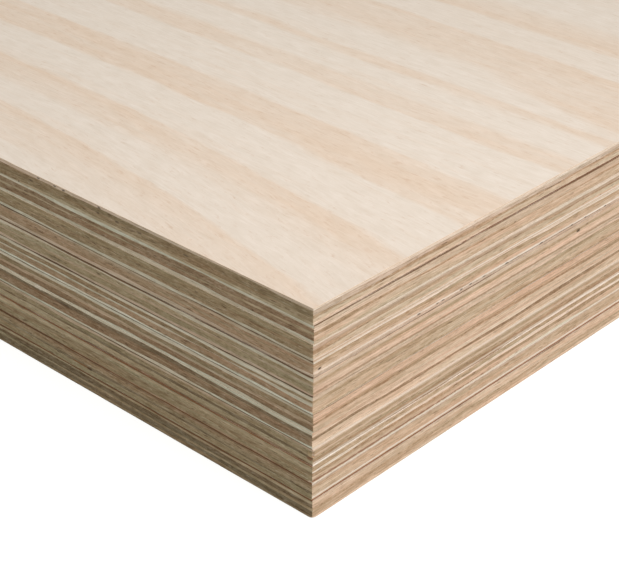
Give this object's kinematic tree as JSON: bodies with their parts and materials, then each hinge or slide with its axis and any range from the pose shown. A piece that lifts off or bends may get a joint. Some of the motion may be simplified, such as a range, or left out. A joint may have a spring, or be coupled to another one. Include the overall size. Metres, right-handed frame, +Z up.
{
  "type": "stack of plywood sheets",
  "caption": "Flush stack of like five-ply plywood sheets lying flat, pale pine faces up, with their ply edges showing on every side and slight wear at one corner.",
  "frame": {"origin": "middle of the stack's underside, on the surface it lies on", "axes": "+X along the sheets and the grain of their faces, +Y across the sheets, +Z up; the worn near corner of the picture is the one at +X and -Y"},
  "size_m": [2.4404, 1.2204, 0.108],
  "materials": {
    "plywood": "matte"
  },
  "bodies": {
    "root": {"sheet_01": "plywood", "sheet_02": "plywood", "sheet_03": "plywood", "sheet_04": "plywood", "sheet_05": "plywood", "sheet_06": "plywood", "sheet_07": "plywood", "sheet_08": "plywood", "sheet_09": "plywood", "sheet_10": "plywood", "sheet_11": "plywood", "sheet_12": "plywood"}
  },
  "joints": []
}
